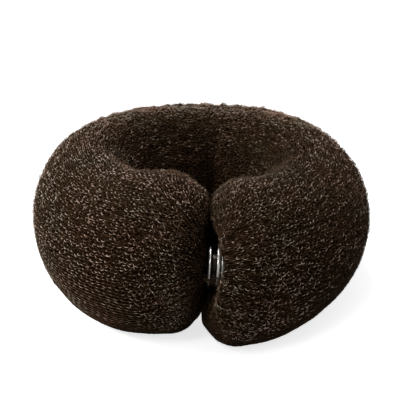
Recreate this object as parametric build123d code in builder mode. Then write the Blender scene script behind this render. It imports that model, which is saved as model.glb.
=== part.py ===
"""A hair bun donut: a fat roll of wound nylon net, bent into a ring and closed by a metal snap.

The roll lies on its side on a table, +Z up. Its two rounded ends meet at the front, at -Y, and
its fold is at the back, at +Y, where it creases on the side of the hole. The roll is fattest
near its ends and slims towards the back. The snap holds the two ends together near their front.
Its socket half is drawn into a bowl in the right-hand end, and its stud half stands on a collar
of the left-hand end. The right-hand end lies on the table, and the left-hand one is held a
little off it.

The origin is on the table, under the middle of the whole ring. Lengths are in millimetres and
angles in degrees.
"""

import os
from math import cos, radians, sin, tan
from typing import NamedTuple

from build123d import *

# The ring and the roll
ring_reach = 32.0  # from the middle of the hole to the middle of the roll, at the back
roll_width = 34.0  # across the roll, from the hole to the outside
roll_height = 44.0
table_sink = 1.0  # how far its own weight flattens the roll on the table

# The seam between the two ends
seam_gap = 0.3
seam_offset = 0.6  # of the seam at half the roll's height, to the right of the hole's middle
seam_lean = 4.0  # of the seam's top, to the right
end_round = 9.0  # radius round the rim of each end

# The crease in the side of the hole, at the fold
crease_depth = 1.4
crease_width = 5.0
crease_rise = 1.12  # how much taller its curve is than the roll, so that it fades out

# The snap. Its middle is halfway between its two flanges.
snap_reach = 36.0  # from the middle of the hole forward to the snap's axis
snap_height = 25.0  # of its middle above the table
snap_offset = 1.7  # of its middle from the seam, towards the right-hand end
flange_radius = 6.3
flange_space = 1.6  # between the two flanges when the snap is closed
stud_flange = 0.8  # thickness
socket_flange = 2.2  # thickness
front_bead = 0.8  # the part of the socket's flange in front of its groove
rim_round = 0.3  # how far each rim rounds off
stud_radius = 2.1
neck_radius = 1.7
neck_length = 1.0
head_length = 1.0
ring_radius = 3.9  # of the raised ring round the socket
snap_clearance = 0.12  # round the stud, in the socket
ring_clearance = 0.3  # from the raised ring to the stud's flange
post_radius = 1.4
post_length = 3.0
post_clearance = 0.1

# The gathered ends: the bowl round the socket, and the collar behind the stud
seat_clearance = 0.3  # behind the socket's flange and round its rim
bowl_radius = 15.0  # at the seam
collar_inset = 0.8  # of the collar's edge, from the rim of the stud's flange
collar_depth = 5.0
collar_spread = 1.0  # how much wider it is at its foot


class Section(NamedTuple):
    """One cut across the roll. Lengths are shares of the sizes above."""

    bearing: float  # degrees round the ring from the front, anticlockwise from above
    reach: float  # of ring_reach, to the section's middle
    swing: float  # degrees that the section is turned from its bearing
    inner: float  # of half the roll's width, towards the hole
    outer: float  # of half the roll's width, away from the hole
    high: float  # of half the roll's height
    lift: float  # of half the roll's height, off the table


# The first and the last are the two ends, at the seam
sections = [
    Section(bearing=0, reach=0.90, swing=0, inner=1.04, outer=1.15, high=1.05, lift=0.00),
    Section(bearing=24, reach=0.94, swing=-14, inner=1.02, outer=1.13, high=1.03, lift=0.00),
    Section(bearing=47, reach=0.92, swing=-9, inner=0.95, outer=1.03, high=0.99, lift=0.00),
    Section(bearing=71, reach=0.91, swing=-6, inner=0.90, outer=1.00, high=0.97, lift=0.00),
    Section(bearing=95, reach=0.96, swing=-5, inner=0.86, outer=0.98, high=0.96, lift=0.00),
    Section(bearing=118, reach=1.00, swing=-3, inner=0.82, outer=0.94, high=0.97, lift=0.00),
    Section(bearing=142, reach=1.02, swing=-1, inner=0.78, outer=0.88, high=0.98, lift=0.00),
    Section(bearing=166, reach=1.02, swing=0, inner=0.76, outer=0.84, high=0.97, lift=0.00),
    Section(bearing=190, reach=1.01, swing=0, inner=0.76, outer=0.84, high=0.97, lift=0.00),
    Section(bearing=214, reach=1.03, swing=1, inner=0.78, outer=0.90, high=0.98, lift=0.00),
    Section(bearing=237, reach=1.05, swing=3, inner=0.82, outer=0.95, high=0.98, lift=0.00),
    Section(bearing=260, reach=1.01, swing=4, inner=0.87, outer=0.96, high=0.98, lift=0.00),
    Section(bearing=284, reach=0.95, swing=6, inner=0.92, outer=0.99, high=0.99, lift=0.00),
    Section(bearing=307, reach=0.92, swing=10, inner=0.96, outer=1.03, high=1.01, lift=0.00),
    Section(bearing=333, reach=0.88, swing=15, inner=1.00, outer=1.05, high=1.03, lift=0.05),
    Section(bearing=360, reach=0.81, swing=0, inner=1.01, outer=1.03, high=1.02, lift=0.09),
]
crease = Section(bearing=172, reach=1.02, swing=0, inner=0.76, outer=0.84, high=0.97, lift=0.00)


def section_sizes(row):
    """A section's inner and outer width and its height, each from its middle."""
    return (
        row.inner * roll_width / 2,
        row.outer * roll_width / 2,
        row.high * roll_height / 2,
    )


def section_plane(row):
    """The upright plane of a section, with X away from the hole."""
    bearing = radians(row.bearing - 90)
    facing = radians(row.bearing + row.swing - 90)
    reach = row.reach * ring_reach
    middle = (row.high + row.lift) * roll_height / 2 - table_sink
    return Plane(
        origin=(reach * cos(bearing), reach * sin(bearing), middle),
        x_dir=(cos(facing), sin(facing), 0),
        z_dir=(sin(facing), -cos(facing), 0),
    )


def beside_seam(away, reach, height):
    """The place at a height and a reach forward, so far to the right of the leaning seam."""
    lean = radians(seam_lean)
    seam = seam_offset + (height - roll_height / 2) * tan(lean)
    return (seam + away / cos(lean), -reach, height)


def end_plane(row, away):
    """The leaning plane of the roll's end, so far to the right of the seam."""
    middle = section_plane(row).origin
    lean = radians(seam_lean)
    return Plane(
        origin=beside_seam(away, -middle.Y, middle.Z),
        x_dir=(0, -1, 0),
        z_dir=(-cos(lean), 0, sin(lean)),
    )


def oval(plane, inner, outer, high):
    """The face of one cut: two half ellipses that meet at the top and the bottom."""
    with BuildSketch(plane) as cut:
        with BuildLine():
            EllipticalCenterArc((0, 0), outer, high, start_angle=-90, arc_size=180)
            EllipticalCenterArc((0, 0), inner, high, start_angle=90, arc_size=180)
        make_face()
    return cut.sketch


# The snap's own plane: its X runs along the snap's axis to the right, and its Y runs upwards
snap_plane = Plane(
    origin=beside_seam(snap_offset, snap_reach, snap_height),
    x_dir=(cos(radians(seam_lean)), 0, -sin(radians(seam_lean))),
    z_dir=(0, -1, 0),
)
snap_axis = Axis(snap_plane.origin, snap_plane.x_dir)

# Places along the snap's axis
stud_face = -flange_space / 2
stud_back = stud_face - stud_flange
stud_end = stud_back - post_length
head_start = stud_face + neck_length
head_end = head_start + head_length
socket_face = flange_space / 2
socket_back = socket_face + socket_flange
socket_end = socket_back + post_length
groove = socket_face + front_bead
ring_face = stud_face + ring_clearance
rim_radius = flange_radius - rim_round

first, *middle, last = sections
cuts = [
    oval(end_plane(first, seam_gap / 2), *section_sizes(first)),
    *[oval(section_plane(row), *section_sizes(row)) for row in middle],
    oval(end_plane(last, -seam_gap / 2), *section_sizes(last)),
]

with BuildPart() as padded_roll:
    loft(cuts)
    ends = padded_roll.faces().filter_by(GeomType.PLANE)
    fillet(ends.edges(), radius=end_round)
    split(bisect_by=Plane.XY, keep=Keep.TOP)

    # The crease, a V that follows the side of the hole
    inner, outer, high = section_sizes(crease)
    with BuildLine(section_plane(crease)) as wall:
        EllipticalCenterArc((0, 0), inner, crease_rise * high, start_angle=100, arc_size=160)
    across = section_plane(crease).z_dir
    with BuildSketch(Plane(origin=wall.line @ 0, x_dir=across, z_dir=wall.line % 0)):
        with BuildLine():
            Polyline(
                (-crease_width / 2, 0),
                (0, -crease_depth),
                (crease_width / 2, 0),
                (0, crease_depth),
                close=True,
            )
        make_face()
    sweep(path=wall.line, mode=Mode.SUBTRACT)

    # The bowl, with its flat seat behind the socket and its rounded lip
    seat = socket_back + seat_clearance
    seat_radius = flange_radius + seat_clearance
    lip = -snap_offset
    halfway = ((seat + lip) / 2, (seat_radius + bowl_radius) / 2)
    with BuildSketch(snap_plane):
        with BuildLine():
            Polyline((seat, seat_radius), (seat, 0), (lip, 0), (lip, bowl_radius))
            TangentArc((seat, seat_radius), halfway, tangent=(0, 1))
            TangentArc((lip, bowl_radius), halfway, tangent=(0, -1))
        make_face()
    revolve(axis=snap_axis, mode=Mode.SUBTRACT)

    # The collar, whose flat edge is level with the left-hand end
    edge = -snap_offset - seam_gap / 2
    foot = edge - collar_depth
    collar_radius = flange_radius - collar_inset
    with BuildSketch(snap_plane):
        with BuildLine():
            Polyline(
                (edge, 0),
                (edge, collar_radius),
                (foot, collar_radius + collar_spread),
                (foot, 0),
                close=True,
            )
        make_face()
    revolve(axis=snap_axis)

    # The hole for the two posts
    with BuildSketch(snap_plane):
        with BuildLine():
            Polyline(
                (stud_end - post_clearance, 0),
                (stud_end - post_clearance, post_radius + post_clearance),
                (socket_end + post_clearance, post_radius + post_clearance),
                (socket_end + post_clearance, 0),
                close=True,
            )
        make_face()
    revolve(axis=snap_axis, mode=Mode.SUBTRACT)

with BuildPart() as snap_stud:
    with BuildSketch(snap_plane):
        with BuildLine():
            Polyline((stud_end, 0), (stud_end, post_radius), (stud_back, post_radius))
            Line((stud_back, post_radius), (stud_back, rim_radius))
            ThreePointArc(
                (stud_back, rim_radius),
                ((stud_back + stud_face) / 2, flange_radius),
                (stud_face, rim_radius),
            )
            Polyline((stud_face, rim_radius), (stud_face, neck_radius), (head_start, neck_radius))
            ThreePointArc(
                (head_start, neck_radius),
                ((head_start + head_end) / 2, stud_radius),
                (head_end, neck_radius),
            )
            Polyline((head_end, neck_radius), (head_end, 0), (stud_end, 0))
        make_face()
    revolve(axis=snap_axis)

with BuildPart() as snap_socket:
    bore_end = head_end + snap_clearance
    bore_radius = stud_radius + snap_clearance
    lip_end = head_start - snap_clearance
    mouth_radius = neck_radius + snap_clearance
    with BuildSketch(snap_plane):
        with BuildLine():
            Polyline(
                (socket_end, 0),
                (bore_end, 0),
                (bore_end, bore_radius),
                (lip_end, bore_radius),
                (lip_end, mouth_radius),
                (ring_face, mouth_radius),
                (ring_face, ring_radius - rim_round),
                (ring_face + rim_round, ring_radius),
                (socket_face, ring_radius),
                (socket_face, rim_radius),
            )
            ThreePointArc(
                (socket_face, rim_radius),
                ((socket_face + groove) / 2, flange_radius),
                (groove, rim_radius),
            )
            ThreePointArc(
                (groove, rim_radius),
                ((groove + socket_back) / 2, flange_radius),
                (socket_back, rim_radius),
            )
            Polyline(
                (socket_back, rim_radius),
                (socket_back, post_radius),
                (socket_end, post_radius),
                (socket_end, 0),
            )
        make_face()
    revolve(axis=snap_axis)

# The middle of the whole ring is over the origin
pieces = {"padded_roll": padded_roll, "snap_stud": snap_stud, "snap_socket": snap_socket}
centre = padded_roll.part.bounding_box().center()
os.makedirs("parts", exist_ok=True)
for name, piece in pieces.items():
    piece.part.move(Location((-centre.X, -centre.Y, 0)))
    piece.part.label = name
    export_step(piece.part, f"parts/{name}.step")
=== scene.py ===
"""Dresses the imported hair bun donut: its knitted nylon net, its snap, and a plain studio.

Every length is in metres unless its name or comment says millimetres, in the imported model's frame:
+Z up, the seam and the snap at the front, at -Y.
"""

import logging
import math
from dataclasses import dataclass, field
from enum import Enum

import bpy
import numpy as np
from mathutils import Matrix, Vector, noise
from mathutils.bvhtree import BVHTree


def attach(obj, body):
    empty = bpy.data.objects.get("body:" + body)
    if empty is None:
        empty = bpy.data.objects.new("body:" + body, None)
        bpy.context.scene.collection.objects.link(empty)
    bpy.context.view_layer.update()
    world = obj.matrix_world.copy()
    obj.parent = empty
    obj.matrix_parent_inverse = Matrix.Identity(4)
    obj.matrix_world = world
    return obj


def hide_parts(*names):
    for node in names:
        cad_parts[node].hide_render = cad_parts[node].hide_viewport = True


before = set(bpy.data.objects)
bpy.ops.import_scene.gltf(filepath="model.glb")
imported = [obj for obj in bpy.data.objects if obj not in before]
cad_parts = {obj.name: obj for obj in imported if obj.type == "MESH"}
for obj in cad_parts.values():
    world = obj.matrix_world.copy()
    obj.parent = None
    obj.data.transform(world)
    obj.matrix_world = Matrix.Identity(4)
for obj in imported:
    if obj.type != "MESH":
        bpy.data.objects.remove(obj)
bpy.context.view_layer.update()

log = logging.getLogger("hair_bun_donut")
MM = 0.001
FULL_TURN = 2 * math.pi
SNAP_MIDDLE = (2.97 * MM, -35.27 * MM, 25.0 * MM)
SEAM_LEAN = math.radians(4)  # of the seam and the snap, to the right as it rises


class Side(Enum):
    """The two ends of the roll, by the side of the seam that each is on."""

    LEFT = -1
    RIGHT = 1


def unit(vectors: np.ndarray) -> np.ndarray:
    """Vectors of length one.

    Args:
        vectors: Rows of three numbers.

    Returns:
        The same rows, each divided by its length.
    """
    return vectors / np.maximum(np.linalg.norm(vectors, axis=-1, keepdims=True), 1e-12)


def ramp(values: np.ndarray, start: float | np.ndarray, end: float | np.ndarray) -> np.ndarray:
    """How far values have come from a start to an end, which may be the smaller, from 0 to 1."""
    return np.clip((values - start) / (end - start), 0, 1)


def up_from(least: float, share: np.ndarray) -> np.ndarray:
    """A number that rises from a least value to 1 as a share rises from 0 to 1."""
    return least + (1 - least) * share


def running_length(steps: np.ndarray) -> np.ndarray:
    """How far along a line each of its points is, from the lengths of its steps."""
    return np.concatenate([[0], np.cumsum(steps)])


Span = tuple[float, float]  # where a change starts and where it is complete, in millimetres


@dataclass(frozen=True)
class Spots:
    """Places on the net, and how far each is from what its looks depend on, in millimetres."""

    points: np.ndarray  # the places themselves, in metres
    x: np.ndarray  # to the right of the ring's axis
    y: np.ndarray  # behind it
    z: np.ndarray  # above the floor
    reach: np.ndarray  # out from the axis
    end: np.ndarray  # from the middle of the snap
    seam: np.ndarray  # to the right of the seam
    gap: np.ndarray  # to either side of it

    def within(self, **spans: Span) -> np.ndarray:
        """How far the places are within a zone that fades in.

        Args:
            spans: Where it starts and where it is complete, for each measure that it goes by.

        Returns:
            A share from 0 to 1 for each place.
        """
        shares = [ramp(getattr(self, measure), *span) for measure, span in spans.items()]
        return np.prod(shares, axis=0)


def make_mesh(
    name: str,
    points: np.ndarray,
    corners: np.ndarray,
    sizes: np.ndarray,
    flat_map: np.ndarray | None = None,
) -> bpy.types.Object:
    """A smooth mesh object from arrays.

    Args:
        name: The piece's name.
        points: Its vertices, a row of three numbers each.
        corners: The vertex number at each corner of each face, one face after another.
        sizes: How many corners each face has.
        flat_map: The place of each corner on the piece's flat map, if it has one.

    Returns:
        The object, in the scene.
    """
    mesh = bpy.data.meshes.new(name)
    mesh.vertices.add(len(points))
    mesh.vertices.foreach_set("co", points.astype(np.float32).ravel())
    mesh.loops.add(len(corners))
    mesh.loops.foreach_set("vertex_index", corners.astype(np.int32))
    mesh.polygons.add(len(sizes))
    starts = np.concatenate([[0], np.cumsum(sizes)[:-1]])
    mesh.polygons.foreach_set("loop_start", starts.astype(np.int32))
    mesh.update(calc_edges=True)
    if flat_map is not None:
        layer = mesh.uv_layers.new(name="OFBake")
        layer.data.foreach_set("uv", flat_map.astype(np.float32).ravel())
    mesh.polygons.foreach_set("use_smooth", np.ones(len(sizes), bool))
    piece = bpy.data.objects.new(name, mesh)
    bpy.context.scene.collection.objects.link(piece)
    return piece


def mark(piece: bpy.types.Object, name: str, values: np.ndarray) -> None:
    """Keeps a number on each vertex of a piece, for its material to read."""
    layer = piece.data.attributes.new(name, "FLOAT", "POINT")
    layer.data.foreach_set("value", values.astype(np.float32))


def dress(piece: bpy.types.Object, finish: bpy.types.Material, slot: str, *nodes: str) -> None:
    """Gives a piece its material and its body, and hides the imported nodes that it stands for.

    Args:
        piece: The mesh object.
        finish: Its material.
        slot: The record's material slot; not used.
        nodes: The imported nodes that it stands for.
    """
    piece.data.materials.append(finish)
    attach(piece, "root")
    if nodes:
        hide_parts(*nodes)
    log.info("%s: %d faces", piece.name, len(piece.data.polygons))


@dataclass
class RollSurface:
    """The net's outer surface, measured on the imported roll.

    A place on it is two numbers: a row of the grid, from the left end's middle at the snap, along
    the roll and round the back to the right end's middle, and a column, once around the roll from
    its outer side over its top.
    """

    roll: bpy.types.Object
    ring_middle: tuple[float, float] = (0.45 * MM, 0.73 * MM)
    half_height: float = 21.5 * MM
    outside: float = 0.2  # a distance from the ring's axis that is well outside it
    thickness: float = 15 * MM  # of the roll, where a line misses it
    seam_foot: tuple[float, float] = (1.054 * MM, 22 * MM)  # its x, at a height
    cap_bearing: float = 21.0  # degrees from the seam to where each end starts to close
    cap_rows: int = 90
    ring_rows: int = 300
    columns: int = 256
    core_rounds: int = 12  # of smoothing
    normal_rounds: int = 3
    lump: float = 0.30 * MM  # how uneven the padding is
    lump_size: float = 11.0 * MM
    lump_top: float = 0.3  # the share of a lump that rises, as most of it sinks
    puff: float = 0.22 * MM  # and how uneven the net is on it
    puff_size: float = 1.9 * MM
    puff_more: float = 4.0  # the share by which it is more so at the back
    puff_rim: float = 0.45  # and how much of that is on the outer rim
    fuzz_least: float = 0.2  # how far the yarn stands off the roll low on its sides
    fuzz_rise: Span = (6, 26)  # and where that grows to 1
    gather: float = 0.50 * MM  # depth of the folds that run in to the snap
    gather_start: float = 6.4 * MM  # from the snap's axis
    gather_end: float = 19.0 * MM
    gather_count: int = 23
    gather_power: float = 1.5  # by which they fade away from the snap
    gather_waves: tuple[tuple[int, float, float], ...] = (
        (3, 0.7, 1.0),
        (5, 0.5, 2.0),
    )  # that make them uneven: how many round the end, size and lag
    flat_middle: float = 0.4  # the share of the unevenness that is left inside the gathers
    corner: tuple[float, float, float] = (-1.2 * MM, -21.5 * MM, 44.0 * MM)
    corner_reach: float = 5.5 * MM
    corner_drop: float = 1.3 * MM  # how far the net gives way there, on the left end's top
    press_reach: float = 1.6 * MM  # how far from the seam the ends are pressed together
    press_top: float = 18.0 * MM
    press_fade: float = 6 * MM  # over how much of its height that starts
    meet_reach: float = 3.6 * MM  # and where their tops meet again, above the snap
    meet_bottom: float = 35.0 * MM
    meet_fade: float = 3 * MM
    meet_back: float = -24.0 * MM
    close_bowl: float = 0.28  # the share by which the net narrows the bowl round the snap
    bowl_depth: float = 6 * MM
    bowl_inner: Span = (6.4, 8.2)  # from the snap's axis
    bowl_outer: Span = (17, 14)
    points: np.ndarray = field(init=False)
    normals: np.ndarray = field(init=False)

    def __post_init__(self) -> None:
        """Measures the surface and shapes the net on it."""
        self._measure()
        self._shape()

    @property
    def rows(self) -> int:
        """How many rows the grid has."""
        return self.ring_rows + 2 * self.cap_rows

    def _core(self, tree: BVHTree, bearing: float) -> np.ndarray:
        """The middle of the roll's section.

        Args:
            tree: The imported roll.
            bearing: Degrees round the ring from the front.

        Returns:
            A point inside the roll.
        """
        turn = math.radians(bearing - 90)
        out = Vector((math.cos(turn), math.sin(turn), 0))
        axis = Vector((*self.ring_middle, self.half_height))
        inner = (tree.ray_cast(axis, out)[0] - axis).length
        outer = (tree.ray_cast(axis + out * self.outside, -out)[0] - axis).length
        return np.array(axis + out * (inner + outer) / 2)

    def _measure(self) -> None:
        """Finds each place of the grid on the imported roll, along a line out of its middle."""
        mesh = self.roll.data
        tree = BVHTree.FromPolygons(
            [v.co.copy() for v in mesh.vertices], [tuple(p.vertices) for p in mesh.polygons]
        )
        around = np.linspace(0, FULL_TURN, self.columns, endpoint=False)
        bearings = np.linspace(360 - self.cap_bearing, self.cap_bearing, self.ring_rows)
        cores = np.array([self._core(tree, b) for b in bearings])
        for _ in range(self.core_rounds):
            cores[1:-1] = (cores[:-2] + 2 * cores[1:-1] + cores[2:]) / 4
        ways = []
        for bearing in bearings:
            turn = math.radians(bearing - 90)
            out = np.array([math.cos(turn), math.sin(turn), 0])
            ways.append(np.outer(np.cos(around), out) + np.outer(np.sin(around), [0, 0, 1]))
        left, right = [], []
        for i in range(self.cap_rows):
            close = (i / self.cap_rows) * math.pi / 2
            for cap, core, rim in ((left, cores[0], ways[0]), (right, cores[-1], ways[-1])):
                pole = unit(np.array(SNAP_MIDDLE) - core)
                cap.append(unit(math.sin(close) * rim + math.cos(close) * pole))
        starts = [cores[0]] * self.cap_rows + list(cores) + [cores[-1]] * self.cap_rows
        ways = left + ways + right[::-1]
        self.points = np.empty((self.rows, self.columns, 3))
        for i, (start, fan) in enumerate(zip(starts, ways)):
            origin = Vector(start)
            for j, way in enumerate(fan):
                hit = tree.ray_cast(origin, Vector(way))[0]
                self.points[i, j] = origin + Vector(way) * self.thickness if hit is None else hit
        self.normals = self._normals(np.array(starts))

    def _normals(self, inside: np.ndarray) -> np.ndarray:
        """The outward directions of the grid.

        Args:
            inside: A point inside the roll for each row.

        Returns:
            A direction for each place.
        """
        along = np.gradient(self.points, axis=0)
        around = np.roll(self.points, -1, 1) - np.roll(self.points, 1, 1)
        out = np.cross(along, around)
        out *= np.sign((out * (self.points - inside[:, None])).sum(-1, keepdims=True))
        out = unit(out)
        for _ in range(self.normal_rounds):
            out[1:-1] = out[:-2] + 2 * out[1:-1] + out[2:]
            out = unit(np.roll(out, 1, 1) + 2 * out + np.roll(out, -1, 1))
        out[0], out[-1] = out[1].mean(0), out[-2].mean(0)
        return unit(out)

    def spots(self, points: np.ndarray) -> Spots:
        """Measures places on the net.

        Args:
            points: Places in the frame.

        Returns:
            The same places with their distances.
        """
        x, y = ((points[..., i] - self.ring_middle[i]) / MM for i in (0, 1))
        end = np.linalg.norm(points - np.array(SNAP_MIDDLE), axis=-1) / MM
        seam = self.seam_distance(points) / MM
        return Spots(points, x, y, points[..., 2] / MM, np.hypot(x, y), end, seam, np.abs(seam))

    def snap_distance(self, points: np.ndarray) -> np.ndarray:
        """How far points are from the snap's axis, which is nearly along X."""
        return np.hypot(points[..., 1] - SNAP_MIDDLE[1], points[..., 2] - SNAP_MIDDLE[2])

    def seam_distance(self, points: np.ndarray) -> np.ndarray:
        """How far points are to the right of the leaning seam; a metre at the back of the ring.

        Args:
            points: Places in the frame.

        Returns:
            Their distances from it, less than 0 on its left.
        """
        seam = self.seam_foot[0] + (points[..., 2] - self.seam_foot[1]) * math.tan(SEAM_LEAN)
        across = (points[..., 0] - seam) * math.cos(SEAM_LEAN)
        return np.where(points[..., 1] > self.ring_middle[1], 1.0, across)

    def fuzz(self, points: np.ndarray) -> np.ndarray:
        """How far the yarn stands off the roll, up to 1: it is pressed smooth low on its sides."""
        return up_from(self.fuzz_least, ramp(points[..., 2] / MM, *self.fuzz_rise))

    def _shape(self) -> None:
        """Shapes the net: its lumps and gathers, the corner that gives way, and the closed seam."""
        near = self.snap_distance(self.points)
        level = np.arange(self.rows)[:, None] * np.ones(self.columns)
        at_left, at_right = level < self.cap_rows, level >= self.rows - self.cap_rows
        depth = self._lumps() - self.gather * self._gathers(near, at_left | at_right)
        depth = depth + self._puffs()
        middle = np.minimum(depth, 0) * self.flat_middle
        depth = np.where(near < self.gather_start, middle, depth)
        corner = np.linalg.norm(self.points - np.array(self.corner), axis=-1) / self.corner_reach
        depth = depth - self.corner_drop * np.exp(-(corner**2))
        self.points = self.points + self.normals * depth[..., None]
        gap = self.seam_distance(self.points)
        height = self.points[..., 2]
        press = 1 - np.minimum(np.abs(gap) / self.press_reach, 1)
        press = press * ramp(height, self.press_top, self.press_top - self.press_fade)
        meet = 1 - np.minimum(np.abs(gap) / self.meet_reach, 1)
        meet = meet * ramp(height, self.meet_bottom, self.meet_bottom + self.meet_fade)
        meet = np.where(self.points[..., 1] < self.meet_back, meet, 0)
        bowl = ramp(near / MM, *self.bowl_inner) * ramp(near / MM, *self.bowl_outer)
        bowl = np.where((gap > 0) & (gap < self.bowl_depth) & at_right, self.close_bowl * bowl, 0)
        self.points[..., 0] -= gap * (press + meet + bowl)

    def _lumps(self) -> np.ndarray:
        """How far the uneven padding stands out at each place.

        Returns:
            A height over the roll for each.
        """
        lumps = [
            [noise.fractal(Vector(p / self.lump_size), 1.0, 2.0, 2) for p in row]
            for row in self.points
        ]
        return self.lump * np.minimum(lumps, self.lump_top)

    def _puffs(self) -> np.ndarray:
        """How far the uneven net on it stands out: most at the back and on the outer rim.

        Returns:
            A height over the padding for each.
        """
        puffs = [[noise.noise(Vector(p / self.puff_size)) for p in row] for row in self.points]
        at = self.spots(self.points)
        rim = self.puff_rim * at.within(reach=(36, 42), z=(26, 34))
        rough = 1 + self.puff_more * np.maximum(at.within(y=(0, 25)), rim)
        return self.puff * rough * np.array(puffs) * self.fuzz(self.points)

    def _gathers(self, near: np.ndarray, at_end: np.ndarray) -> np.ndarray:
        """How deep in a fold each place is, from 0 to 1.

        Args:
            near: How far each place is from the snap's axis.
            at_end: Whether it is on one of the roll's ends.

        Returns:
            A share of the folds' whole depth.
        """
        fade = np.where(at_end, ramp(near, self.gather_end, self.gather_start), 0)
        fade = fade**self.gather_power
        turn = np.arange(self.columns) / self.columns * FULL_TURN
        wander = sum(size * np.sin(times * turn + lag) for times, size, lag in self.gather_waves)
        folds = 0.5 - 0.5 * np.cos(self.gather_count * turn + wander)
        return fade * folds[None]

    def at(self, row: np.ndarray, column: np.ndarray) -> tuple[np.ndarray, np.ndarray]:
        """Places on the surface.

        Args:
            row: Grid rows, whole or between.
            column: Grid columns, whole or between, which go round.

        Returns:
            The points, and the outward directions there.
        """
        row = np.clip(row, 0, self.rows - 1.001)
        i, j = np.floor(row).astype(int), np.floor(column).astype(int)
        a, b = (row - i)[..., None], (column - j)[..., None]
        j0, j1 = j % self.columns, (j + 1) % self.columns
        found = []
        for grid in (self.points, self.normals):
            low = grid[i, j0] * (1 - b) + grid[i, j1] * b
            high = grid[i + 1, j0] * (1 - b) + grid[i + 1, j1] * b
            found.append(low * (1 - a) + high * a)
        return found[0], unit(found[1])


@dataclass(frozen=True)
class Tone:
    """How light the net is painted from place to place: painted light and shade on its crests, and
    painted shade where it lies deep.
    """

    # Painted light and shade: a darker share stands for shade where the net lies deep or turns from
    # the lights, a lighter share for light falling on it.
    in_hole: float = 0.48  # how light the crests are there, where they are 1 on the outer side
    at_floor: float = 0.12
    floor_left: Span = (3, 9)  # where they lighten above the floor, on the left and on the right
    floor_right: Span = (7, 19)
    near_snap: float = 0.84
    back_right: float = 0.30  # how much darker they are on the hole's back wall
    back_left: float = 0.08
    right_wall: float = 0.15
    on_brink: float = 0.30  # and on the hole's upper edge
    right_side: float = 0.46  # and on the outer sides
    right_bend: float = 1.2  # the power by which that starts slowly
    left_side: float = 0.09
    high_right: float = 0.13
    low_sides: float = 0.15  # how much lighter they are low on those
    front_right: float = 0.12
    painted_light_on_top: float = 0.30  # and on top at the back, as painted light
    in_seam: float = 0.75  # how much darker all the net is down in the seam
    seam_left: float = 5.6  # how far to each side of it that reaches, in millimetres
    seam_right: float = 3.6
    foot_wider: float = 1.8  # and how much farther at its foot
    foot_darker: float = 0.13
    seam_fade: float = 0.15  # the share of the reach over which that starts and ends softly
    on_brow: float = 0.23  # how much darker the ends' tops beside it are
    in_fold: float = 0.40  # and the fold inside the back
    fold: tuple[float, float] = (0.8, 2.2)  # its middle and its half width, in millimetres
    beside_fold: float = 0.45  # the share of that by which it is lighter to the right of it
    beside: tuple[float, float] = (6.0, 2.5)
    layers_in_hole: float = 0.55  # how much darker the layers under the net are in the hole
    layers_at_back: float = 0.12  # the share of that which is left on the back wall

    def painted_light(self, at: Spots) -> np.ndarray:
        """Painted light and shade on the yarn's crests: how light they are, from 0 to about 1.

        Args:
            at: Places on the net.

        Returns:
            A share of their lightest for each.
        """
        right, low = at.within(x=(12, 38)), at.within(z=(27, 21))
        back = self.back_right - (self.back_right - self.back_left) * at.within(x=(3, -7))
        back = back * at.within(y=(10, 30), reach=(31, 24))
        wall = self.right_wall * at.within(x=(6, 16), reach=(33, 25))
        floor = [a + (b - a) * right for a, b in zip(self.floor_left, self.floor_right)]
        light = up_from(self.in_hole, at.within(reach=(19, 31))) * (1 - np.maximum(back, wall))
        light = light * up_from(self.at_floor, ramp(at.z, *floor))
        light = light * up_from(self.near_snap, at.within(end=(8, 22)))
        front = self.front_right * at.within(x=(6, 12), z=(30, 24)) * at.within(x=(40, 30))
        sides = self.right_side * right**self.right_bend
        sides = sides + self.left_side * at.within(x=(-28, -40))
        edge = self.low_sides * low - self.high_right * at.within(z=(28, 34))
        light = light * (1 - sides + front) * (1 + at.within(x=(34, 42)) * edge)
        light = light * (1 + self.low_sides * at.within(x=(-24, -32)) * low)
        light = light * (1 + self.painted_light_on_top * self.softness(at))
        light = light * (1 - self.on_brink * self.brink(at))
        return light * self.openness(at) * self.crease(at)

    def openness(self, at: Spots) -> np.ndarray:
        """How much light comes to the net beside the seam, from 0.15 down in it to 1.

        Args:
            at: Places on the net.

        Returns:
            A share of the whole light for each.
        """
        foot = at.within(z=(18, 12))
        reach = np.where(at.seam > 0, self.seam_right + self.foot_wider * foot, self.seam_left)
        deep = ramp(at.gap, (1 + self.seam_fade) * reach, self.seam_fade * reach)
        deep = deep * (1 + self.foot_darker * foot) * at.within(z=(42, 34))
        return 1 - self.in_seam * deep - self.on_brow * at.within(gap=(28.8, 4.8), z=(30, 38))

    def crease(self, at: Spots) -> np.ndarray:
        """Painted shade in the fold inside the back and painted light beside it: how light the net
        is, from 0.6 in the fold to 1.2 beside it.

        Args:
            at: Places on the net.

        Returns:
            A share of its usual lightness for each.
        """
        x, y = at.points[..., 0] / MM, at.points[..., 1] / MM
        inside = ramp(y, 8, 14) * ramp(np.hypot(x, y), 30, 24)
        fold, beside = (np.exp(-(((x - a) / b) ** 2)) for a, b in (self.fold, self.beside))
        return 1 - self.in_fold * inside * (fold - self.beside_fold * beside)

    def layers(self, at: Spots) -> np.ndarray:
        """Painted shade on the layers under the outer net: how light they are, least in the seam and
        in the hole.

        Args:
            at: Places on the net.

        Returns:
            A share of their lightest for each.
        """
        inner = at.within(reach=(35, 28)) * (1 - self.softness(at))
        front = np.maximum(at.within(y=(23.27, 3.27)), self.layers_at_back)
        deep = 1 - self.layers_in_hole * inner * front
        return deep * self.crease(at) * self.openness(at)

    def hidden(self, at: Spots) -> np.ndarray:
        """How deep inside the ring's hole the net is, from 0 to 1."""
        return at.within(reach=(25, 20))

    def brink(self, at: Spots) -> np.ndarray:
        """How near the net is to the upper edge of the hole, from 0 to 1, but for the back."""
        return at.within(reach=(28, 22), z=(34, 39), y=(13.27, 5.27))

    def softness(self, at: Spots) -> np.ndarray:
        """Where the net is painted evenly light and its curls are fluffier, from 0 to 1: most on top
        at the back.
        """
        return at.within(y=(10, 25), reach=(25, 34), z=(25, 37))


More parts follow.
